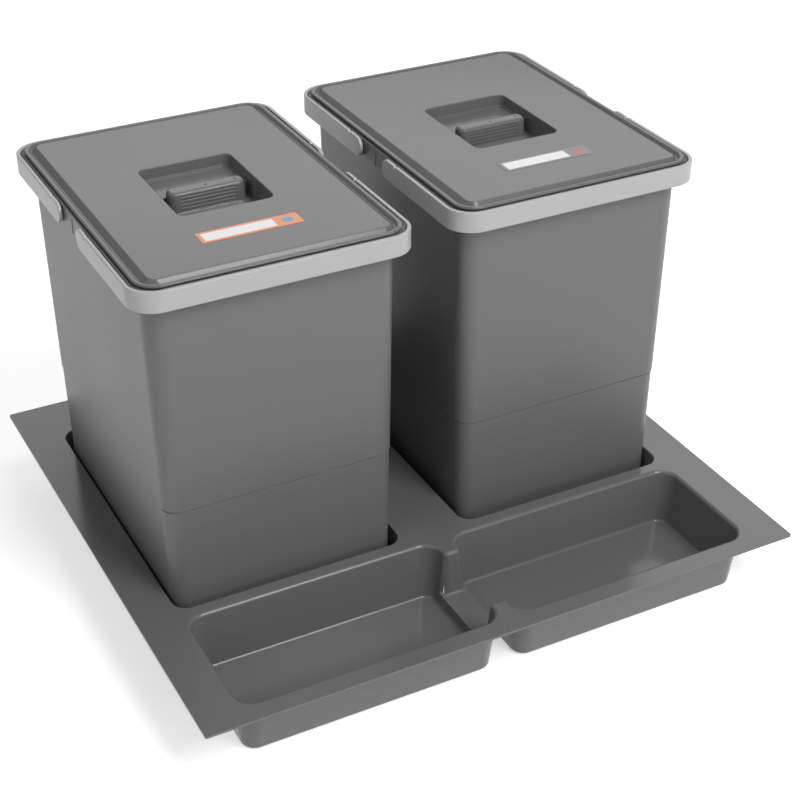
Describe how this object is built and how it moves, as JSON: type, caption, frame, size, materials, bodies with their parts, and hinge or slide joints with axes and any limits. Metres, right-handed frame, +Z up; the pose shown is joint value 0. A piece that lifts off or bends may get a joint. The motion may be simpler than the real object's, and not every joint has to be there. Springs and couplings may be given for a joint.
{
  "type": "drawer insert waste sorting system",
  "caption": "Kitchen drawer insert tray with lidded waste buckets that lift out of its pockets, paired swing handles, and joined open compartments in front.",
  "frame": {"origin": "middle of the tray's footprint, on the plane that the tray stands on", "axes": "+X to the right along the drawer's width, +Y to the back of the drawer, +Z up"},
  "size_m": [0.51, 0.471, 0.3295],
  "materials": {
    "tray_grey": "fine matte texture",
    "bucket_grey": "satin",
    "handle_light": "satin",
    "lid_grey": "fine matte texture",
    "label_orange": "printed film sticker",
    "label_white": "printed film sticker"
  },
  "bodies": {
    "tray": {"tray": "tray_grey"},
    "bucket_left": {"bucket_left": "bucket_grey"},
    "bucket_right": {"bucket_right": "bucket_grey"},
    "handle_left_front": {"handle_left_front": "handle_light"},
    "handle_left_back": {"handle_left_back": "handle_light"},
    "handle_right_front": {"handle_right_front": "handle_light"},
    "handle_right_back": {"handle_right_back": "handle_light"},
    "lid_left": {"lid_left": "lid_grey", "label_left": "label_orange"},
    "lid_right": {"lid_right": "lid_grey", "label_right": "label_white"}
  },
  "joints": [
    {"name": "bucket_left_lift", "type": "slide", "parent": "tray", "child": "bucket_left", "axis": [0, 0, 1], "range_m": [0, 0.06]},
    {"name": "lid_left_lift", "type": "slide", "parent": "bucket_left", "child": "lid_left", "axis": [0, 0, 1], "range_m": [0, 0.06]},
    {"name": "handle_left_front_swing", "type": "hinge", "parent": "bucket_left", "child": "handle_left_front", "pos_m": [-0.126, 0.0123, 0.3185], "axis": [-1, 0, 0], "range_deg": [0, 95]},
    {"name": "handle_left_back_swing", "type": "hinge", "parent": "bucket_left", "child": "handle_left_back", "pos_m": [-0.126, 0.0683, 0.3185], "axis": [1, 0, 0], "range_deg": [0, 95]},
    {"name": "bucket_right_lift", "type": "slide", "parent": "tray", "child": "bucket_right", "axis": [0, 0, 1], "range_m": [0, 0.06]},
    {"name": "lid_right_lift", "type": "slide", "parent": "bucket_right", "child": "lid_right", "axis": [0, 0, 1], "range_m": [0, 0.06]},
    {"name": "handle_right_front_swing", "type": "hinge", "parent": "bucket_right", "child": "handle_right_front", "pos_m": [0.1276, 0.0193, 0.3185], "axis": [-1, 0, 0], "range_deg": [0, 95]},
    {"name": "handle_right_back_swing", "type": "hinge", "parent": "bucket_right", "child": "handle_right_back", "pos_m": [0.1276, 0.0753, 0.3185], "axis": [1, 0, 0], "range_deg": [0, 95]}
  ]
}
